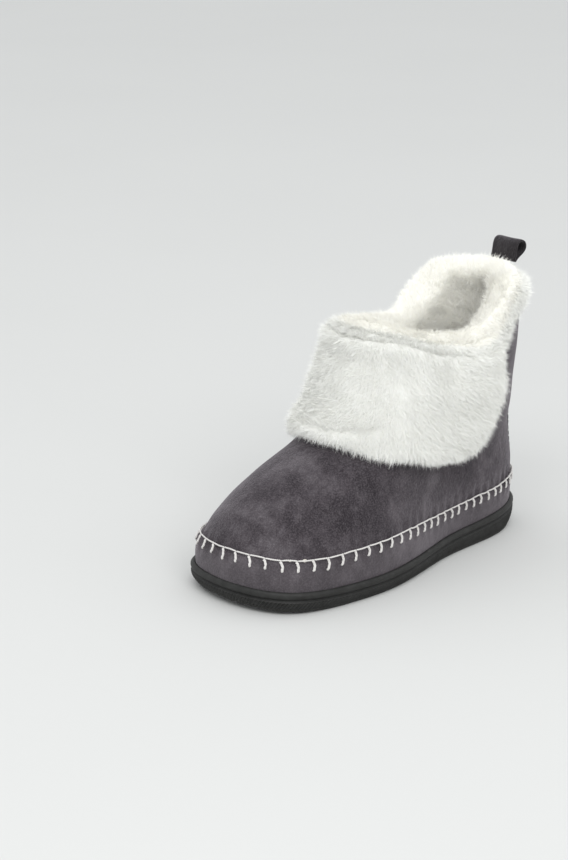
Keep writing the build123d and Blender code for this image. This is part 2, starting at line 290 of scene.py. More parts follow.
def node(tree, kind, **settings):
    made = tree.nodes.new(kind)
    for key, value in settings.items():
        if key in made.inputs:
            made.inputs[key].default_value = value
        else:
            setattr(made, key, value)
    return made


def object_noise(tree, scale, detail=3.0, roughness=0.6, stretch=None):
    """A noise texture over the object's own metres."""
    place = tree.nodes.new("ShaderNodeTexCoord")
    texture = node(tree, "ShaderNodeTexNoise", Scale=scale, Detail=detail, Roughness=roughness)
    if stretch:
        mapping = tree.nodes.new("ShaderNodeMapping")
        mapping.inputs["Scale"].default_value = stretch
        tree.links.new(place.outputs["Object"], mapping.inputs["Vector"])
        tree.links.new(mapping.outputs["Vector"], texture.inputs["Vector"])
    else:
        tree.links.new(place.outputs["Object"], texture.inputs["Vector"])
    return texture.outputs["Fac"]


def ramp(tree, value, stops):
    made = tree.nodes.new("ShaderNodeValToRGB")
    elements = made.color_ramp.elements
    while len(elements) < len(stops):
        elements.new(0.5)
    for element, (position, colour) in zip(elements, stops):
        element.position = position
        element.color = (*colour, 1)
    tree.links.new(value, made.inputs["Fac"])
    return made.outputs["Color"]


def mixed(tree, a, b, factor, kind="MIX"):
    made = tree.nodes.new("ShaderNodeMix")
    made.data_type = "RGBA"
    made.blend_type = kind
    if isinstance(factor, float):
        made.inputs["Factor"].default_value = factor
    else:
        tree.links.new(factor, made.inputs["Factor"])
    tree.links.new(a, made.inputs["A"])
    tree.links.new(b, made.inputs["B"])
    return made.outputs["Result"]


def bump(tree, shader, heights):
    """Chains bump maps: pairs of a height output and a depth in metres."""
    normal = None
    for height, depth in heights:
        made = node(tree, "ShaderNodeBump", Strength=1.0, Distance=depth)
        tree.links.new(height, made.inputs["Height"])
        if normal:
            tree.links.new(normal, made.inputs["Normal"])
        normal = made.outputs["Normal"]
    tree.links.new(normal, shader.inputs["Normal"])


def suede(name, dark, middle, light, wall_light=0.0):
    """Brushed suede: soft patches where the nap lies one way or the other, a fine speckle and a short fuzz.

    wall_light is how much paler the moccasin's wall is than the upper.
    """
    material, shader = principled(name, Roughness=0.92, Sheen_Weight=0.35, Sheen_Roughness=0.45)
    shader.inputs["Sheen Tint"].default_value = (0.75, 0.7, 0.75, 1)
    shader.inputs["Specular IOR Level"].default_value = 0.15
    tree = material.node_tree
    patches = ramp(tree, object_noise(tree, 32, 5, 0.62), [(0.38, dark), (0.5, middle), (0.64, light)])
    strokes = ramp(
        tree, object_noise(tree, 130, 4, 0.7, (1, 1, 0.5)), [(0.38, dark), (0.52, middle), (0.66, light)]
    )
    speckle = ramp(tree, object_noise(tree, 950, 3, 0.8), [(0.36, dark), (0.5, middle), (0.63, light)])
    colour = mixed(tree, mixed(tree, patches, strokes, 0.35), speckle, 0.4)
    if wall_light:
        place = tree.nodes.new("ShaderNodeTexCoord")
        split = tree.nodes.new("ShaderNodeSeparateXYZ")
        tree.links.new(place.outputs["Object"], split.inputs["Vector"])
        seam = {"From Min": 36 * MM, "From Max": 30 * MM, "To Max": wall_light}
        low = node(tree, "ShaderNodeMapRange", **seam)
        tree.links.new(split.outputs["Z"], low.inputs["Value"])
        lighter = tree.nodes.new("ShaderNodeRGB")
        lighter.outputs["Color"].default_value = (*light, 1)
        colour = mixed(tree, colour, lighter.outputs["Color"], low.outputs["Result"])
    tree.links.new(colour, shader.inputs["Base Color"])
    bump(
        tree,
        shader,
        [(object_noise(tree, 60, 3), 0.9 * MM), (object_noise(tree, 420, 3, 0.7), 0.5 * MM),
         (object_noise(tree, 1300, 2, 0.7), 0.3 * MM)],
    )
    return material


def moulded_rubber():
    material, shader = principled("moulded_rubber", Roughness=0.5)
    shader.inputs["Specular IOR Level"].default_value = 0.3
    tree = material.node_tree
    colour = ramp(
        tree, object_noise(tree, 180, 4, 0.6), [(0.3, (0.012, 0.012, 0.011)), (0.7, (0.027, 0.027, 0.026))]
    )
    tree.links.new(colour, shader.inputs["Base Color"])
    dust = tree.nodes.new("ShaderNodeMapRange")
    dust.inputs["To Min"].default_value = 0.45
    dust.inputs["To Max"].default_value = 0.66
    tree.links.new(object_noise(tree, 90, 3), dust.inputs["Value"])
    tree.links.new(dust.outputs["Result"], shader.inputs["Roughness"])
    bump(tree, shader, [(object_noise(tree, 2200, 2), 0.05 * MM)])
    return material


def pile(name, colour):
    """One constant colour of fur fibre. The cuff's colours are dye lots; the lining's are also paler, which
    is painted light for the shade inside the boot.
    """
    material, shader = principled(name, Roughness=0.8)
    shader.inputs["Base Color"].default_value = (*colour, 1)
    shader.inputs["Specular IOR Level"].default_value = 0.2
    return material


def mottled(name, dark, light, patches, grain, depth, **settings):
    """A colour in patches over a bumpy surface; patches and grain say what object_noise makes of each."""
    material, shader = principled(name, **settings)
    tree = material.node_tree
    colour = ramp(tree, object_noise(tree, *patches), [(0.3, dark), (0.7, light)])
    tree.links.new(colour, shader.inputs["Base Color"])
    bump(tree, shader, [(object_noise(tree, *grain), depth)])
    return material


def under_fur(name, dark, light):
    """The dense wool under the long fibres."""
    patches, grain = (260, 4, 0.7, (1, 1, 0.4)), (420, 4, 0.75, (1, 1, 0.3))
    return mottled(name, dark, light, patches, grain, 0.7 * MM, Roughness=0.95, Sheen_Weight=0.2)


def twisted(name, dark, light):
    """Waxed thread: fine fibres along each ply."""
    return mottled(name, dark, light, (900, 3, 0.6), (3000, 2), 0.08 * MM, Roughness=0.7, Sheen_Weight=0.2)


def plain_stuff(name, dark, light, scale, depth):
    """Board, felt, foam and other hidden stuff: a mottled colour with its own grain."""
    return mottled(name, dark, light, (scale, 4), (scale * 3, 3), depth, Roughness=0.8)


SUEDE = suede("charcoal_suede", (0.0135, 0.0108, 0.0135), (0.049, 0.0415, 0.047), (0.14, 0.126, 0.136), 0.27)
DARK_SUEDE = suede("black_suede", (0.006, 0.0055, 0.006), (0.021, 0.0185, 0.02), (0.066, 0.061, 0.064))
SKIN_SIDE = suede("skin_side", (0.10, 0.095, 0.095), (0.17, 0.162, 0.162), (0.26, 0.25, 0.25))
RUBBER = moulded_rubber()
WHITE_FIBRES = [
    pile("white_fibre", (0.915, 0.918, 0.885)),
    pile("ivory_fibre", (0.89, 0.89, 0.845)),
    pile("bright_fibre", (0.94, 0.94, 0.92)),
]
# Warm lining fibre, paler than the cuff's: that paleness is painted light, lifting the shaded inside of the
# shaft, the foot and the footbed.
WARM_FIBRES_WITH_PAINTED_LIGHT = [
    pile("lining_fibre", (0.975, 0.965, 0.915)),
    pile("lining_shade_fibre", (0.96, 0.945, 0.875)),
    pile("lining_bright_fibre", (0.985, 0.98, 0.95)),
]
CUFF_WOOL = under_fur("cuff_wool", (0.885, 0.885, 0.85), (0.94, 0.94, 0.915))
# The lining's wool is paler than the cuff's wool: painted light for the shade inside the boot.
LINING_WOOL_WITH_PAINTED_LIGHT = under_fur("lining_wool", (0.95, 0.935, 0.87), (0.98, 0.975, 0.93))
THREAD = twisted("waxed_thread", (0.56, 0.54, 0.52), (0.72, 0.70, 0.68))
BLACK_THREAD = twisted("black_thread", (0.02, 0.02, 0.02), (0.05, 0.05, 0.05))


# ---------------------------------------------------------------- the suede
def loose_parts(name):
    """The separate solids of a CAD node, each as (start, end) of its long axis."""
    verts, tris = node_arrays(name)
    keys, same = np.unique(np.round(verts / (0.01 * MM)).astype(np.int64), axis=0, return_inverse=True)
    same = same.ravel()
    label = np.arange(len(keys))
    edges = np.concatenate([same[tris[:, [0, 1]]], same[tris[:, [1, 2]]]])
    while True:
        low = np.minimum(label[edges[:, 0]], label[edges[:, 1]])
        new = label.copy()
        np.minimum.at(new, edges[:, 0], low)
        np.minimum.at(new, edges[:, 1], low)
        new = new[new]
        if (new == label).all():
            break
        label = new
    group = label[same]
    parts = []
    for g in np.unique(group):
        cloud = verts[group == g]
        centre = cloud.mean(0)
        axis = np.linalg.svd(cloud - centre, full_matrices=False)[2][0]
        reach = (cloud - centre) @ axis
        parts.append((centre + axis * reach.min(), centre + axis * reach.max()))
    return parts


stretches = loose_parts("moccasin_thread")
legs = [p for p in stretches if abs(unit(p[1] - p[0])[2]) > STEEP]
bars = [p for p in stretches if abs(unit(p[1] - p[0])[2]) <= STEEP]
legs = [(a, b) if a[2] > b[2] else (b, a) for a, b in legs]
leg_tops = np.array([a for a, _ in legs])
leg_tree = KDTree(len(legs))
for i, top in enumerate(leg_tops):
    leg_tree.insert(Vector((top[0], top[1], 0)), i)
leg_tree.balance()


def make_suede(skin):
    """The wall and the upper as one skin: drawn in and puckered where they meet, soft dents elsewhere."""
    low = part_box("side_wall")[0].z + 3 * MM
    heights = np.arange(low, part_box("upper")[1].z, SUEDE_STEP)
    ends, rings = wall_ends(skin, low), []
    for z in heights:
        ends = wall_ends(skin, z) or ends
        rings.append(ring_rays(skin, z, SUEDE_COLUMNS, ends))
    filled = np.array(rings)
    found = np.isfinite(filled).all(-1)
    top_row = np.array([np.flatnonzero(column).max() for column in found.T])
    valid = np.arange(len(heights))[:, None] <= top_row - round(COVERED_TOP / SUEDE_STEP)
    for r in range(1, len(heights)):
        gone = ~(valid[r] & found[r])
        filled[r, gone] = filled[r - 1, gone] + UP * SUEDE_STEP
    filled = blur(filled, 5)
    inward = grid_normals(filled)  # the rings run clockwise from above
    flat = filled.reshape(-1, 3)
    push = noise(flat, 45 * MM, 1) * 0.9 * MM + noise(flat, 17 * MM, 2) * 0.35 * MM
    push += seam_shape(flat)
    push += ankle_creases(flat)
    shaped = (flat + inward.reshape(-1, 3) * push[:, None]).reshape(filled.shape)
    piece = grid_piece("suede_upper", shaped, SUEDE, valid=valid)
    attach(piece, "boot")
    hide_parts("upper", "side_wall")


def seam_shape(points):
    """How far the leather is drawn in near the moccasin seam; where this is negative, it stands out."""
    nearest = [leg_tree.find_n(Vector((p[0], p[1], 0)), 2) for p in points]
    index = np.array([[n[0][1], n[1][1]] for n in nearest])
    away = np.array([[n[0][2], n[1][2]] for n in nearest])
    share = away[:, 0] / np.maximum(away.sum(1), 1e-9)
    seam_z = leg_tops[index[:, 0], 2] * (1 - share) + leg_tops[index[:, 1], 2] * share
    rise = points[:, 2] - seam_z
    near_seam = away[:, 0] < 12 * MM
    at_stitch = np.cos(2 * math.pi * np.clip(share, 0, 0.5))  # 1 at a stitch, -1 halfway to the next
    crease = SEAM_DEPTH * np.exp(-((rise - 0.5 * MM) / (1.5 * MM)) ** 2)
    hollow = 0.5 * MM * np.exp(-((rise - 4 * MM) / (4 * MM)) ** 2)
    ridge = -0.35 * MM * np.exp(-((rise + 2.2 * MM) / (1.6 * MM)) ** 2)
    wall_pucker = -PUCKER * at_stitch * np.exp(-((rise + 4.5 * MM) / (4.5 * MM)) ** 2)
    top_pucker = -0.8 * PUCKER * at_stitch * np.exp(-((rise - 2 * MM) / (6 * MM)) ** 2)
    return np.where(near_seam, crease + hollow + ridge + wall_pucker + top_pucker, 0.0)


def ankle_creases(points):
    """Shallow folds across the front of the ankle and above the heel, where the boot bends."""
    x, z = points[:, 0], points[:, 2]
    ankle, spread, depth = 88 * MM, 28 * MM, 0.5 * MM
    bend = np.exp(-((z - ankle) / spread) ** 2) * smooth((50 * MM - x) / (60 * MM))
    waves = np.sin((z + 0.12 * x + noise(points, 30 * MM, 5) * 6 * MM) / (7.5 * MM))
    return bend * waves * depth


# ---------------------------------------------------------------- the sole
def sideways(outline):
    """Level outward directions along a closed outline."""
    ahead = np.roll(outline, -3, 0) - np.roll(outline, 3, 0)
    outward = unit(np.stack([-ahead[:, 1], ahead[:, 0]], -1))
    facing = ((outline - outline.mean(0)) * outward).sum(1).mean()
    return outward * math.copysign(1, facing)


def make_sole():
    """The rubber unit: rounded lip, groove, ribbed wall leaning in to the floor, and a tread."""
    tree = node_tree("outsole")
    level = 6 * MM  # the CAD's wall is whole all round here
    wide = averaged(ring_rays(tree, level, SOLE_COLUMNS, wall_ends(tree, level)), 12)[:, :2]
    low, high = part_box("outsole")
    wide = wide + sideways(wide) * (high.x - low.x - wide[:, 0].max() + wide[:, 0].min()) / 2
    outward = sideways(wide)

    def surface(inset, start, way):
        """The heights where the CAD is met along the drawn-in outline, from above or below."""
        rays = [Vector((x, y, start)) for x, y in wide - outward * inset]
        return averaged(np.array([tree.ray_cast(ray, Vector((0, 0, way)))[0].z for ray in rays]), 30)

    top = surface(1.6 * MM, 60 * MM, -1)
    under = surface(7 * MM, -20 * MM, 1)
    walk = np.concatenate([[0], np.cumsum(np.linalg.norm(np.diff(wide, axis=0), axis=1))])
    around = walk[-1] + np.linalg.norm(wide[0] - wide[-1])
    ribs = round(around / RIB_PITCH)
    rows = []

    def ring(inset, z):
        """Adds a ring, drawn in from the widest outline."""
        inset = np.broadcast_to(inset, len(wide))
        rows.append(np.concatenate([wide - outward * inset[:, None], z[:, None]], 1))

    ring(5.5 * MM, top - 2.5 * MM)  # the lip's top slopes down under the suede
    ring(4.4 * MM, top - 0.8 * MM)
    for turn in np.linspace(90, -90, 13):
        a = math.radians(turn)
        ring((1.9 - 2.0 * math.cos(a)) * MM, top - LIP_HEIGHT / 2 + LIP_HEIGHT / 2 * math.sin(a))
    ring(GROOVE_DEPTH + 0.6 * MM, top - LIP_HEIGHT - 0.15 * MM)
    ring(GROOVE_DEPTH + 0.7 * MM, top - LIP_HEIGHT - GROOVE_HEIGHT)
    wall_top = top - LIP_HEIGHT - GROOVE_HEIGHT - 0.2 * MM
    steps, fading = 18, 0.12  # the ribs fade out over this share of the wall at each end
    for k in range(steps + 1):
        t = k / steps
        z = wall_top * (1 - t) + (under + SOLE_EDGE) * t
        lean = 0.1 * MM + SOLE_LEAN * t * t
        phase = (walk / around * ribs - (wall_top - z) / RIB_CLIMB) * 2 * math.pi
        ring(lean + RIB_DEPTH * (0.5 - 0.5 * np.cos(phase)) * smooth(min(t, 1 - t) / fading), z)
    for turn in (20, 45, 70, 90):
        a = math.radians(turn)
        ring(SOLE_LEAN + 0.1 * MM + SOLE_EDGE * (1 - math.cos(a)), under + SOLE_EDGE * (1 - math.sin(a)))
    wall = grid_piece("outsole_wall", np.array(rows[::-1]), RUBBER)
    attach(wall, "boot")
    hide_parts("outsole")
    make_tread(rows[-1][::3])


def make_tread(rim):
    """The underside: a smooth border and wavy cross grooves."""
    middle_x = np.clip(rim[:, 0], cad_low.x + 36 * MM, cad_high.x - 46 * MM)
    middle = np.stack([middle_x, np.zeros(len(rim))], -1)
    steps = np.linspace(0, 1, 41)  # from the rim to the middle
    level = np.array([rim[:, :2] * (1 - t) + middle * t for t in steps])
    x, y = level[..., 0], level[..., 1]
    share = steps[:, None]
    spring_toe = np.clip(x - 78 * MM, 0, None) ** 2 * 1.7
    spring_heel = np.clip(-112 * MM - x, 0, None) ** 2 * 6.0
    inner = smooth(share * 5)
    base = rim[:, 2] * (1 - inner) + np.minimum(rim[:, 2], spring_toe + spring_heel) * inner
    pitch, sway, sway_length = 9 * MM, 2.2 * MM, 5.5 * MM
    wave = np.abs(((x + sway * np.sin(y / sway_length)) / pitch) % 1 - 0.5)
    cut = smooth((0.22 - wave) / 0.08) * smooth((share - 0.12) / 0.05)
    points = np.stack([x, y, base + cut * TREAD_DEPTH], -1)
    piece = grid_piece("outsole_tread", points[::-1], RUBBER)
    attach(piece, "boot")


# ---------------------------------------------------------------- threads
def ply_tubes(name, paths, material, radius, ply_radius, turns_per_metre, squash=1.0):
    """Three-ply twisted thread along each path; a path is a list of points with an outward normal each."""
    plies, sides = 3, 6
    verts, loops, sizes, count = [], [], [], 0
    angles = np.linspace(0, 2 * math.pi, sides, endpoint=False)
    for points, normals in paths:
        points, normals = np.asarray(points), np.asarray(normals)
        tangents = unit(np.gradient(points, axis=0))
        side = unit(np.cross(tangents, normals))
        lift = unit(np.cross(side, tangents))
        walked = np.concatenate([[0], np.cumsum(np.linalg.norm(np.diff(points, axis=0), axis=1))])
        taper = np.clip(np.minimum(walked, walked[-1] - walked) / (radius * 0.9) + 0.35, 0, 1)
        for ply in range(plies):
            twist = walked * turns_per_metre * 2 * math.pi + ply * 2 * math.pi / plies
            core = (radius - ply_radius) * taper
            centre = points + side * (np.cos(twist) * core)[:, None]
            centre = centre + lift * (np.sin(twist) * core * squash)[:, None]
            ring = (
                centre[:, None]
                + side[:, None] * (np.cos(angles)[None] * (ply_radius * taper)[:, None])[..., None]
                + lift[:, None] * (np.sin(angles)[None] * (ply_radius * taper * squash)[:, None])[..., None]
            )
            quads = ring_quads(len(points), sides)
            verts.append(ring.reshape(-1, 3))
            loops.append(np.concatenate([quads.ravel(), *ring_ends(len(points), sides)]) + count)
            sizes.append([4] * len(quads) + [sides, sides])
            count += len(points) * sides
    return new_piece(name, np.concatenate(verts), np.concatenate(loops), np.concatenate(sizes), material)


def outward_at(tree, point):
    hit, normal, _, _ = tree.find_nearest(Vector(point))
    away = np.array(point) - np.array(hit)
    return unit(away) if np.linalg.norm(away) > 0.05 * MM else np.array(normal)


def make_blanket_stitch(skin):
    """Each leg dives into the leather at both ends; the bars run leg to leg along the seam."""
    rng = np.random.default_rng(11)
    leg_paths, bar_paths = [], []
    for top, foot in legs:
        normal = outward_at(skin, (top + foot) / 2)
        down = unit(foot - top)
        across = np.cross(normal, down)
        if across @ np.cross(UP, normal) < 0:
            across = -across
        t = np.linspace(0, 1, 18)[:, None]
        bow, lean = rng.normal(0.5, 0.2) * MM, rng.normal(0.3, 0.45) * MM
        hook = -1.3 * MM * (1 - t) ** 4 + bow * np.sin(math.pi * t) - lean * t
        dip = (1 - np.clip(4 * t * (1 - t) * 1.9, 0, 1)) * 0.8 * MM
        line = (top - down * 0.7 * MM) * (1 - t) + (foot + down * rng.normal(0, 0.4) * MM) * t
        sunk = line + across * hook - normal * (dip + 0.35 * MM)
        leg_paths.append((sunk, np.repeat(normal[None], len(t), 0)))
    for a, b in bars:
        normal = outward_at(skin, (a + b) / 2)
        t = np.linspace(-0.04, 1.04, 16)[:, None]
        dip = (1 - np.clip(4 * t * (1 - t) * 2.2, 0, 1)) * 0.35 * MM
        sag = UP * np.sin(math.pi * t) * rng.normal(-0.1, 0.22) * MM
        sunk = a * (1 - t) + b * t + sag - normal * (dip + 0.1 * MM)
        bar_paths.append((sunk, np.repeat(normal[None], len(t), 0)))
    leg_piece = ply_tubes("blanket_stitch_legs", leg_paths, THREAD, radius=0.95 * MM, ply_radius=0.54 * MM,
                          turns_per_metre=120, squash=0.75)
    bar_piece = ply_tubes("blanket_stitch_bars", bar_paths, THREAD, radius=0.55 * MM, ply_radius=0.31 * MM,
                          turns_per_metre=260)
    for piece in (leg_piece, bar_piece):
        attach(piece, "boot")
    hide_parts("moccasin_thread")


# ---------------------------------------------------------------- backstay and pull loop
def make_backstay():
    """The strip up the heel: a little uneven, pressed in along its two rows of stitches."""
    tree = node_tree("backstay")
    low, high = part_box("backstay")
    half = (high.y - low.y) / 2
    heights = np.linspace(low.z + 0.4 * MM, high.z - 0.4 * MM, 110)
    across = np.linspace(-1, 1, 33)
    points = np.full((len(heights), len(across), 3), np.nan)
    for r, z in enumerate(heights):
        for c, s in enumerate(across):
            hit = tree.ray_cast(Vector((-300 * MM, s * (half - 0.15 * MM), z)), Vector((1, 0, 0)))[0]
            if hit is not None:
                points[r, c] = hit
    for r, c in np.argwhere(~np.isfinite(points).all(-1)):
        points[r, c] = points[r - 1, c] if r else points[r, len(across) // 2]
    outward = -grid_normals(points, around=False)
    edge = np.abs(across)[None, :] * np.ones((len(heights), 1))
    stitched = np.exp(-((edge - 0.8) / 0.07) ** 2)
    rounding = np.clip((edge - 0.93) / 0.07, 0, 1) ** 2
    bulge = 0.25 * MM * noise(points.reshape(-1, 3), 14 * MM, 8).reshape(edge.shape)
    push = bulge - 0.35 * MM * stitched - 1.0 * MM * rounding + 0.3 * MM
    face = points + outward * push[..., None]
    back = points - outward * 1.6 * MM
    shape = np.concatenate([back[:, :1], face, back[:, -1:]], axis=1)
    piece = grid_piece("backstay_strip", shape, DARK_SUEDE)
    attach(piece, "boot")
    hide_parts("backstay")


def make_pull_loop():
    """A suede-faced strap folded into a loop, with soft edges."""
    hinge = np.array(joints["pull_loop_tilt"]["pos_m"])
    verts, _ = node_arrays("pull_loop")
    side_view = verts[:, [0, 2]] - hinge[[0, 2]]
    low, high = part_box("pull_loop")
    reach = np.linalg.norm(side_view, axis=1).max()
    centre_line = side_view[np.linalg.norm(side_view, axis=1) > reach - 1.0 * MM].mean(0)
    lean = math.atan2(-centre_line[0], centre_line[1])
    along = np.array([-math.sin(lean), math.cos(lean)])
    across = np.array([math.cos(lean), math.sin(lean)])
    strap = 1.5 * MM  # its thickness; the two legs touch at the foot
    eye = 4.3 * MM
    head = reach - eye - strap / 2
    foot = 0.75 * MM
    left = [(-foot - (eye - foot) * smooth(t), head * t) for t in np.linspace(0, 1, 22)]
    arc = [(-eye * math.cos(a), head + eye * math.sin(a)) for a in np.linspace(0, math.pi, 26)[1:-1]]
    right = [(-x, s) for x, s in left[::-1]]
    path = np.array([(float(x), float(s)) for x, s in left + arc + right])
    tangent = unit(np.gradient(path, axis=0))
    normal = np.stack([-tangent[:, 1], tangent[:, 0]], -1)
    half = (high.y - low.y) / 2
    rows = []
    for p, n, q in zip(path, normal, np.linspace(0, 1, len(path))):
        row = []
        for a in np.linspace(0, 2 * math.pi, 28, endpoint=False):
            c, s = math.cos(a), math.sin(a)
            y = half * np.sign(c) * abs(c) ** 0.35
            d = strap / 2 * np.sign(s) * abs(s) ** 0.6
            wave = 0.18 * MM * math.sin(9 * q + 3 * y / half)
            place = p + n * (d + wave)
            x, z = (hinge[k] + across[i] * place[0] + along[i] * place[1] for i, k in enumerate((0, 2)))
            row.append((x, hinge[1] + y, z))
        rows.append(row)
    piece = grid_piece("pull_loop_strap", np.array(rows, float), DARK_SUEDE, capped=True)
    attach(piece, "loop")
    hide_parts("pull_loop")


# ---------------------------------------------------------------- fur
def wool_body(name, shape, material, voxel, passes, shrink, clump, plump=None):
    """The dense part of a pile: closed shapes as one skin, edges rounded, drawn in, with tufts."""
    verts, tris = shape
    piece = new_piece(name, verts, tris.ravel(), np.full(len(tris), 3), material)
    remesh = piece.modifiers.new("remesh", "REMESH")
    remesh.mode = "VOXEL"
    remesh.voxel_size = voxel
    soft = piece.modifiers.new("soft", "SMOOTH")
    soft.factor = 0.5
    soft.iterations = passes
    graph = bpy.context.evaluated_depsgraph_get()
    mesh = bpy.data.meshes.new_from_object(piece.evaluated_get(graph))
    piece.modifiers.clear()
    piece.data = mesh
    co, normals = vertex_arrays(mesh)
    tufts = noise(co * np.array([1, 1, 0.6]), 8 * MM, 21)
    out = tufts * clump - shrink
    if plump:
        out = out + plump(co, normals)
    co = co + normals * out[:, None]
    mesh.vertices.foreach_set("co", co.astype(np.float32).ravel())
    mesh.polygons.foreach_set("use_smooth", np.full(len(mesh.polygons), True))
    mesh.materials.clear()
    mesh.materials.append(material)
    mesh.update()
    return piece


def vertex_arrays(mesh):
    co = np.empty(len(mesh.vertices) * 3, np.float32)
    mesh.vertices.foreach_get("co", co)
    normals = np.empty(len(mesh.vertices) * 3, np.float32)
    mesh.vertices.foreach_get("normal", normals)
    return co.reshape(-1, 3).astype(float), normals.reshape(-1, 3).astype(float)


def scatter(piece, count, rng, keep):
    """Random points of a mesh, even by area, with the normal at each, from the faces that keep() accepts."""
    mesh = piece.data
    mesh.calc_loop_triangles()
    index = np.empty(len(mesh.loop_triangles) * 3, np.int32)
    mesh.loop_triangles.foreach_get("vertices", index)
    index = index.reshape(-1, 3)
    co, normals = vertex_arrays(mesh)
    centres = co[index].mean(1)
    index = index[keep(centres, unit(normals[index].mean(1)))]
    a, b, c = co[index[:, 0]], co[index[:, 1]], co[index[:, 2]]
    area = np.linalg.norm(np.cross(b - a, c - a), axis=1)
    pick = rng.choice(len(index), count, p=area / area.sum())
    u, v = rng.random(count), rng.random(count)
    flip = u + v > 1
    u, v = np.where(flip, 1 - u, u)[:, None], np.where(flip, 1 - v, v)[:, None]
    points = a[pick] * (1 - u - v) + b[pick] * u + c[pick] * v
    na, nb, nc = (normals[index[pick, k]] for k in range(3))
    return points, unit(na * (1 - u - v) + nb * u + nc * v)


def comb(points, normals, rng, length, lift, lay, stray, gather):
    """Root, bend and tip of each fibre: out along the normal, over to the lay, leaning to its tuft."""
    wild_share, tuft_fibres, drift_size = 0.14, 50, 16 * MM
    count = len(points)
    lay = lay - normals * (lay * normals).sum(1)[:, None]
    long = length * (0.72 + 0.5 * rng.random(count))[:, None]
    wild = (rng.random(count) < wild_share)[:, None]
    lift = np.where(wild, lift + 0.3, lift)
    long = long * np.where(wild, 1.2, 1.0)
    drift = np.stack([noise(points, drift_size, 31 + k) for k in range(3)], -1) * 0.27
    wander = rng.normal(0, stray, (count, 3))
    way = unit(normals * lift + unit(lay + 1e-9) * (1 - lift) + drift + wander)
    rising = unit(normals + wander + lay * 0.3) * 0.45 + way * 0.1
    bend = points + rising * long * np.minimum(1.0, lift + 0.35)
    tip = points + way * long
    centres = rng.choice(count, max(8, count // tuft_fibres), replace=False)
    tree = KDTree(len(centres))
    for k, c in enumerate(centres):
        tree.insert(Vector(points[c]), k)
    tree.balance()
    nearest = centres[[tree.find(Vector(p))[1] for p in points]]
    pull = gather * (0.55 + 0.45 * rng.random(count))[:, None]
    tip = tip * (1 - pull) + (tip[nearest] + (points - points[nearest]) * 0.25) * pull
    bend = bend * (1 - pull * 0.4) + (bend[nearest] + (points - points[nearest]) * 0.7) * pull * 0.4
    return points - normals * 0.5 * MM, bend, tip


def strand_pieces(name, curves, normals, rng, width, materials, body):
    """Flat tapering fibres, in pieces of a limited size, which ride a body unless it is None."""
    root, bend, tip = curves
    pairs = 3
    made = []
    for start in range(0, len(root), STRANDS_PER_PIECE):
        part = slice(start, start + STRANDS_PER_PIECE)
        a, b, c, n = root[part], bend[part], tip[part], normals[part]
        count = len(a)
        spin = rng.normal(0, 0.25, count)[:, None]
        size = width * (0.7 + 0.6 * rng.random(count))[:, None]
        verts = np.empty((count, pairs * 2 + 1, 3))
        for k in range(pairs):
            t = k / pairs
            place = a * (1 - t) ** 2 + b * 2 * t * (1 - t) + c * t * t
            tangent = unit((b - a) * (1 - t) + (c - b) * t)
            side = unit(np.cross(tangent, n) + 1e-9)
            face = np.cross(side, tangent)
            edge = side * np.cos(spin) + face * np.sin(spin)
            half = size / 2 * (1 - t) ** 0.6
            verts[:, 2 * k] = place - edge * half
            verts[:, 2 * k + 1] = place + edge * half
        verts[:, -1] = c
        quads = np.array([[2 * k, 2 * k + 1, 2 * k + 3, 2 * k + 2] for k in range(pairs - 1)]).ravel()
        pattern = np.concatenate([quads, [2 * pairs - 2, 2 * pairs - 1, 2 * pairs]])
        loops = (np.arange(count)[:, None] * (pairs * 2 + 1) + pattern[None]).ravel()
        sizes = np.tile([4] * (pairs - 1) + [3], count)
        piece = new_piece(f"{name}_{len(made) + 1}", verts.reshape(-1, 3), loops, sizes, materials)
        tone = rng.choice(len(materials), count, p=[0.5, 0.25, 0.25])
        piece.data.polygons.foreach_set("material_index", np.repeat(tone, pairs).astype(np.int32))
        made.append(piece)
        if body:
            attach(piece, body)
    return made


def lean_down(points):
    return np.tile(-UP, (len(points), 1))


def part_of(piece, keep, name, material):
    """A new piece with the chosen faces of another."""
    mesh = piece.data
    co, _ = vertex_arrays(mesh)
    loops = np.empty(len(mesh.loops), np.int32)
    mesh.loops.foreach_get("vertex_index", loops)
    sizes = np.empty(len(mesh.polygons), np.int32)
    mesh.polygons.foreach_get("loop_total", sizes)
    used, index = np.unique(loops[np.repeat(keep, sizes)], return_inverse=True)
    return new_piece(name, co[used], index.ravel(), sizes[keep], material)


def show_skin(piece, skin):
    """The side of the pile sheet that lies on the suede is bare skin, seen when the flap is lifted."""
    piece.data.materials.append(SKIN_SIDE)
    for face in piece.data.polygons:
        hit, _, _, distance = skin.find_nearest(face.center)
        if distance < 6 * MM and (hit - face.center).dot(face.normal) > 0.6 * distance:
            face.material_index = 1


def nearer(points, tree, other):
    """Which points lie nearer to the first tree than to the other."""
    return np.array([tree.find_nearest(Vector(p))[3] < other.find_nearest(Vector(p))[3] for p in points])


def joined(*shapes):
    """Several (vertices, triangles) pairs as one."""
    starts = np.cumsum([0] + [len(verts) for verts, _ in shapes[:-1]])
    return (
        np.concatenate([verts for verts, _ in shapes]),
        np.concatenate([tris + start for (_, tris), start in zip(shapes, starts)]),
    )


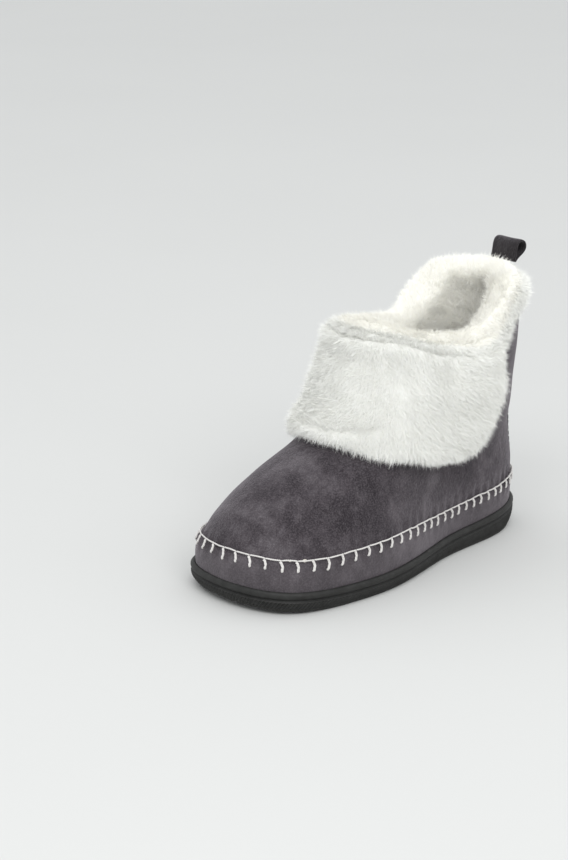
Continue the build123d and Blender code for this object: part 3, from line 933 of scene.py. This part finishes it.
def fold_roll(lining_nodes, cuff_tree):
    """The round roll that the thick pile makes where the sheet folds over the top edge."""
    stations, sides = 96, 20
    near_turn, edge_depth = 0.06, 3 * MM  # what counts as the lining's edge at a station
    cuff_level = 14 * MM  # the cuff's thickness is taken this far under the edge
    widen, flatten = 1.06, 0.8  # the roll's section against a round one
    verts, _ = node_arrays(*lining_nodes)
    flat = (verts - LEG_AXIS) * [1, 1, 0]
    radius, turn = np.linalg.norm(flat, axis=1), np.arctan2(flat[:, 1], flat[:, 0])
    centres, widths = [], []
    for k in range(stations):
        a = 2 * math.pi * k / stations
        near = np.abs(np.angle(np.exp(1j * (turn - a)))) < near_turn
        top = verts[near, 2].max()
        inside = radius[near & (verts[:, 2] > top - edge_depth)].min()
        way = np.array([math.cos(a), math.sin(a), 0])
        start = Vector(LEG_AXIS + way * (200 * MM) + UP * (top - cuff_level))
        hit = cuff_tree.ray_cast(start, Vector(-way))[0]
        outside = np.linalg.norm((np.array(hit) - LEG_AXIS)[:2])
        widths.append((outside - inside) / 2)
        centres.append([*(LEG_AXIS + way * (outside + inside) / 2)[:2], top])
    centres, widths = averaged(np.array(centres), 4), averaged(np.array(widths), 4)
    out = unit((centres - LEG_AXIS) * [1, 1, 0])
    high = widths * flatten
    rings = []
    for b in np.linspace(0, 2 * math.pi, sides, endpoint=False):
        lift = high * math.sin(b) - high + FOLD_RISE
        rings.append(centres + out * (widths * widen * math.cos(b))[:, None] + UP * lift[:, None])
    points = np.array(rings)
    r, c = np.meshgrid(np.arange(sides), np.arange(stations), indexing="ij")
    d, e = (c + 1) % stations, (r + 1) % sides
    lower = np.stack([r * stations + c, r * stations + d, e * stations + d], -1).reshape(-1, 3)
    upper = np.stack([r * stations + c, e * stations + d, e * stations + c], -1).reshape(-1, 3)
    return points.reshape(-1, 3), np.concatenate([lower, upper])


def settle(co, normals):
    """How the sheet lies: the lining full near the top, the fold pressed down, the cuff leaning in there.

    The cuff's rear edges are drawn in too. Lengths are along the normals.
    """
    inward = unit((LEG_AXIS - co) * [1, 1, 0])
    facing = (inward * normals).sum(1)
    x, z = co[:, 0], co[:, 2]
    shaft = smooth((z - 105 * MM) / (35 * MM))
    full = (LINING_FULL + 2.2 * MM * noise(co, 24 * MM, 41)) * smooth((facing - 0.1) / 0.4) * shaft
    dip = np.exp(-(((x + 52 * MM) / (26 * MM)) ** 2))
    pressed = (FOLD_PRESSED - FOLD_EASED * dip) * smooth((normals[:, 2] + 0.15) / 0.9)
    less_behind = 1 - 0.25 * smooth((-60 * MM - x) / (25 * MM))
    leaning = CUFF_LEAN * smooth((-facing - 0.1) / 0.5) * smooth((z - 115 * MM) / (40 * MM)) * less_behind
    end = CUFF_END * smooth((-normals[:, 0] - 0.25) / 0.5)
    end = end * smooth((x + 92 * MM) / (14 * MM)) * (facing < 0.2)
    return full - pressed - leaning - end


def off_the_suede(skin):
    """A test for scatter(): true on faces that don't look at the suede from close by."""

    def keep(centres, face_normals):
        kept = np.empty(len(centres), bool)
        for i, (c, n) in enumerate(zip(centres, face_normals)):
            hit, _, _, distance = skin.find_nearest(Vector(c))
            toward = (np.array(hit) - c) / max(distance, 1e-9)
            kept[i] = not (toward @ n > 0.45 and distance < 9 * MM)
        return kept

    return keep


def make_fur(skin):
    """The lining, its fold over the top edge and the turned-down cuff are one sheet of fur."""
    rng = np.random.default_rng(5)
    scale = 1.0
    cuff_nodes = ["cuff_front", "cuff_wing_lateral", "cuff_wing_medial", "collar_fur_rear",
                  "cuff_front_backing", "cuff_wing_backing_lateral", "cuff_wing_backing_medial",
                  "collar_backing_rear"]
    lining_nodes = ["collar_lining_lateral", "collar_lining_medial"]
    foot_nodes = ["foot_lining_lateral", "foot_lining_medial"]
    cuff_tree, lining_tree = node_tree(*cuff_nodes), node_tree(*lining_nodes)
    sheet = joined(node_arrays(*cuff_nodes, *lining_nodes), fold_roll(lining_nodes, cuff_tree))
    whole = wool_body("fur_sheet", sheet, CUFF_WOOL, voxel=2.1 * MM, passes=26, shrink=0.0, clump=0.6 * MM,
                      plump=settle)
    foot = wool_body("foot_lining_wool", node_arrays(*foot_nodes), LINING_WOOL_WITH_PAINTED_LIGHT, voxel=2.6 * MM, passes=4,
                     shrink=0.8 * MM, clump=0.7 * MM)
    open_to_air = off_the_suede(skin)

    centres = np.empty(len(whole.data.polygons) * 3, np.float32)
    whole.data.polygons.foreach_get("center", centres)
    outer_faces = nearer(centres.reshape(-1, 3).astype(float), cuff_tree, lining_tree)
    cuff = part_of(whole, outer_faces, "cuff_wool_body", CUFF_WOOL)
    fold = part_of(whole, ~outer_faces, "lining_wool_body", LINING_WOOL_WITH_PAINTED_LIGHT)
    show_skin(cuff, skin)

    points, normals = scatter(whole, int(240000 * scale), rng, open_to_air)
    outer = nearer(points, cuff_tree, lining_tree)
    upness = smooth((normals[:, 2] + 0.2) / 0.9)[:, None]
    outward = unit((points - LEG_AXIS) * [1, 1, 0])
    over = outward * normals[:, 2:] - UP * (normals * outward).sum(1)[:, None]
    lay = over + lean_down(points) * outer[:, None] * 0.8
    long = np.where(outer[:, None], CUFF_PILE, LINING_PILE + (FOLD_PILE - LINING_PILE) * upness)
    lift = np.where(outer[:, None], 0.4, 0.32) - 0.07 * upness
    curves = comb(points, normals, rng, long, lift, lay, stray=0.3, gather=0.14)
    cuff_strands = strand_pieces("cuff_pile", [c[outer] for c in curves], normals[outer], rng, FIBRE,
                                 WHITE_FIBRES, None)
    inner = ~outer
    strand_pieces("lining_pile", [c[inner] for c in curves], normals[inner], rng, FIBRE, WARM_FIBRES_WITH_PAINTED_LIGHT, "boot")
    bpy.data.objects.remove(whole)

    def towards_foot(centres, face_normals):
        return open_to_air(centres, face_normals) & (face_normals[:, 2] > -0.7)

    points, normals = scatter(foot, int(26000 * scale), rng, towards_foot)
    curves = comb(points, normals, rng, LINING_PILE, 0.4, lean_down(points), stray=0.2, gather=0.3)
    strand_pieces("foot_pile", curves, normals, rng, 0.45 * MM, WARM_FIBRES_WITH_PAINTED_LIGHT, "boot")

    for piece in [cuff, *cuff_strands]:
        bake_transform(piece)
    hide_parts(*cuff_nodes)
    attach(fold, "boot")
    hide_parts(*lining_nodes)
    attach(foot, "boot")
    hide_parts(*foot_nodes)


def make_footbed():
    """The fleece footbed: slightly crowned, with a short pile."""
    rng = np.random.default_rng(9)
    scale = 1.0
    pad = wool_body("footbed_pad", node_arrays("footbed_cover"), LINING_WOOL_WITH_PAINTED_LIGHT, voxel=2.4 * MM, passes=6,
                    shrink=0.4 * MM, clump=0.5 * MM)
    points, normals = scatter(pad, int(16000 * scale), rng, lambda c, n: n[:, 2] > 0.3)
    curves = comb(points, normals, rng, FOOTBED_PILE, 0.55, lean_down(points), stray=0.4, gather=0.6)
    strand_pieces("footbed_pile", curves, normals, rng, 0.5 * MM, WARM_FIBRES_WITH_PAINTED_LIGHT, "boot")
    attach(pad, "boot")
    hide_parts("footbed_cover")


# ---------------------------------------------------------------- what stays as the CAD made it
def dress_hidden_nodes():
    stuff = {
        "midsole_filler": plain_stuff("grey_felt", (0.2, 0.19, 0.17), (0.33, 0.32, 0.3), 500, 0.3 * MM),
        "insole_board": plain_stuff("cellulose_board", (0.42, 0.33, 0.22), (0.56, 0.46, 0.33), 350, 0.1 * MM),
        "footbed_foam": plain_stuff("open_cell_foam", (0.62, 0.6, 0.53), (0.78, 0.76, 0.7), 700, 0.4 * MM),
        "toe_puff": plain_stuff("stiffener_sheet", (0.6, 0.56, 0.48), (0.72, 0.69, 0.62), 300, 0.08 * MM),
        "heel_counter": plain_stuff("counter_sheet", (0.6, 0.56, 0.48), (0.72, 0.69, 0.62), 300, 0.08 * MM),
        "loop_anchor": DARK_SUEDE,
        "backstay_thread": BLACK_THREAD,
    }
    for name, material in stuff.items():
        mesh = nodes[name].data
        mesh.materials.clear()
        mesh.materials.append(material)


# ---------------------------------------------------------------- stage
def make_stage():
    floor_material, shader = principled("studio_floor", Roughness=0.9)
    shader.inputs["Specular IOR Level"].default_value = 0.1
    tree = floor_material.node_tree
    colour = ramp(tree, object_noise(tree, 3, 2), [(0.3, (0.64, 0.644, 0.632)), (0.7, (0.648, 0.652, 0.64))])
    tree.links.new(colour, shader.inputs["Base Color"])
    size = 9.0
    corners = np.array([(-size, -size, 0), (size, -size, 0), (size, size, 0), (-size, size, 0)])
    floor = new_piece("studio_floor", corners, np.arange(4), np.array([4]), floor_material, False)
    world = bpy.data.worlds.new("studio")
    bpy.context.scene.world = world
    world.use_nodes = True
    background = world.node_tree.nodes["Background"]
    background.inputs["Color"].default_value = (0.97, 0.985, 1.0, 1)
    background.inputs["Strength"].default_value = 0.94
    area_light("front", (1.5, 1.1, 2.2), (-0.05, 0, 0.1), 1.4, 24)
    area_light("side", (1.8, 4.7, 3.6), (0, 0, 0.1), 2.6, 96)
    view = bpy.context.scene.view_settings
    view.view_transform = "Standard"
    view.look = "None"


def area_light(name, place, target, size, power):
    light = bpy.data.lights.new(name, "AREA")
    light.shape = "SQUARE"
    light.size = size
    light.energy = power
    made = bpy.data.objects.new(name, light)
    bpy.context.scene.collection.objects.link(made)
    made.location = place
    made.rotation_euler = (Vector(target) - Vector(place)).to_track_quat("-Z", "Y").to_euler()


def make_camera():
    """Three quarters from the toe's outer side, a little above, through a long lens."""
    camera = bpy.data.cameras.new("camera")
    camera.lens = 101.2
    camera.sensor_width = 36.0
    camera.clip_end = 60
    made = bpy.data.objects.new("camera", camera)
    bpy.context.scene.collection.objects.link(made)
    turn, rise, distance = math.radians(46.8), math.radians(17.6), 1.649
    target = Vector((0.0009, -0.0829, 0.070))
    back = Vector((math.cos(turn) * math.cos(rise), math.sin(turn) * math.cos(rise), math.sin(rise)))
    made.location = target + back * distance
    made.rotation_euler = (-back).to_track_quat("-Z", "Y").to_euler()
    bpy.context.scene.camera = made


make_camera()
make_stage()
skin_tree = node_tree("upper", "side_wall")
make_suede(skin_tree)
make_sole()
make_blanket_stitch(skin_tree)
make_backstay()
make_pull_loop()
make_fur(skin_tree)
make_footbed()
dress_hidden_nodes()
